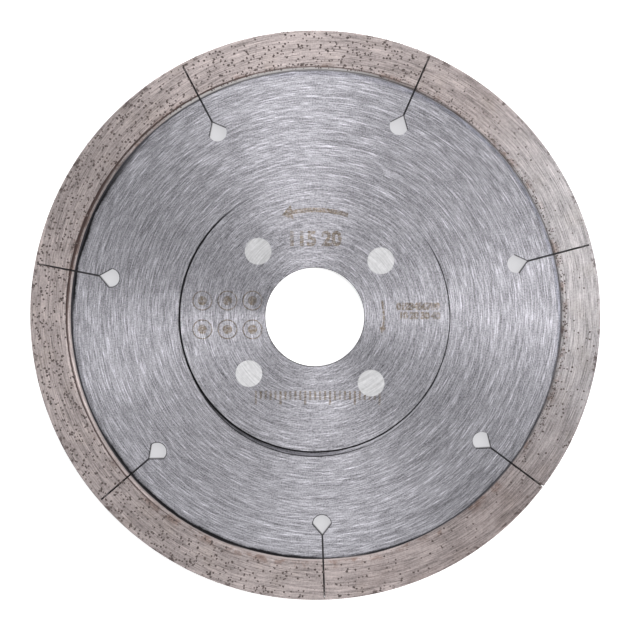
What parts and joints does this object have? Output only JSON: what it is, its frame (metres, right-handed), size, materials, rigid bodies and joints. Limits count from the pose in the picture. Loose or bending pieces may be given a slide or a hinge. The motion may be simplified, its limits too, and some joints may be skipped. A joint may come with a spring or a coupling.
{
  "type": "diamond cutting disc",
  "caption": "Thin steel cutting disc with a plain central bore, a riveted stiffening hub and a slotted diamond rim.",
  "frame": {"origin": "centre of the bore, half way through the disc's thickness", "axes": "+Z along the bore towards the marked front face; the disc lies in the XY plane, turned as in the picture"},
  "size_m": [0.115, 0.115, 0.002],
  "materials": {
    "core_steel": "ground in circles",
    "flange_steel": "ground in circles",
    "rivet_steel": "bright, ground flush",
    "diamond_matrix": "sintered metal with diamond grit, ground"
  },
  "bodies": {
    "root": {"steel_core": "core_steel", "front_flange": "flange_steel", "rear_flange": "flange_steel", "rivets": "rivet_steel", "rim_segment_1": "diamond_matrix", "rim_segment_2": "diamond_matrix", "rim_segment_3": "diamond_matrix", "rim_segment_4": "diamond_matrix", "rim_segment_5": "diamond_matrix", "rim_segment_6": "diamond_matrix", "rim_segment_7": "diamond_matrix"}
  },
  "joints": []
}
